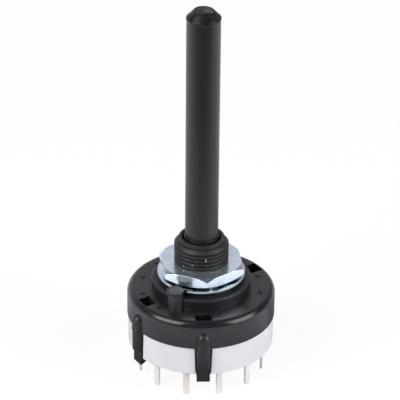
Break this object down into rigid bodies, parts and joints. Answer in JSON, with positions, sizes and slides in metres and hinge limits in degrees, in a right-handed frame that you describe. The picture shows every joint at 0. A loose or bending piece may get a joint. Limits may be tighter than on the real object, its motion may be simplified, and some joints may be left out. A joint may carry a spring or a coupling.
{
  "type": "rotary switch",
  "caption": "Panel-mount rotary wafer switch with a long plain shaft, threaded bush, hex nut, locating spigot, clip-on base and flat pins for a circuit board.",
  "frame": {"origin": "centre of the panel face, which is the top of the raised collar, on the shaft's axis", "axes": "+Z along the shaft towards its free end; -Y is the front, where a clip stands"},
  "size_m": [0.027, 0.029, 0.071],
  "materials": {
    "black_nylon": "fine satin, moulded",
    "black_acetal": "smooth satin, moulded",
    "white_plastic": "smooth, slightly translucent",
    "natural_plastic": "smooth, moulded",
    "zinc_plate": "bright zinc plate with a blue passivation",
    "spring_steel": "drawn wire",
    "ball_steel": "polished",
    "bronze": "rolled spring bronze",
    "tinned_brass": "silver-plated, slightly dull"
  },
  "bodies": {
    "switch_body": {"front_housing": "black_nylon", "base": "white_plastic", "stop_ring": "zinc_plate", "washer": "zinc_plate", "hex_nut": "zinc_plate", "common_terminal": "tinned_brass", "terminal_01": "tinned_brass", "terminal_02": "tinned_brass", "terminal_03": "tinned_brass", "terminal_04": "tinned_brass", "terminal_05": "tinned_brass", "terminal_06": "tinned_brass", "terminal_07": "tinned_brass", "terminal_08": "tinned_brass", "terminal_09": "tinned_brass", "terminal_10": "tinned_brass", "terminal_11": "tinned_brass", "terminal_12": "tinned_brass"},
    "rotor": {"spindle": "black_acetal", "detent_spring": "spring_steel", "contact_carrier": "natural_plastic", "wiper_blade": "bronze"},
    "ball_a": {"detent_ball_a": "ball_steel"},
    "ball_b": {"detent_ball_b": "ball_steel"}
  },
  "joints": [
    {"name": "spindle_turn", "type": "hinge", "parent": "switch_body", "child": "rotor", "pos_m": [0, 0, 0], "axis": [0, 0, -1], "range_deg": [0, 330]},
    {"name": "ball_a_travel", "type": "slide", "parent": "rotor", "child": "ball_a", "axis": [0.9659, -0.2588, 0], "range_m": [0, 0.0004]},
    {"name": "ball_b_travel", "type": "slide", "parent": "rotor", "child": "ball_b", "axis": [-0.9659, 0.2588, 0], "range_m": [0, 0.0004]}
  ],
  "couplings": [
    {"joint": "ball_b_travel", "follows": "ball_a_travel", "ratio": 1}
  ]
}
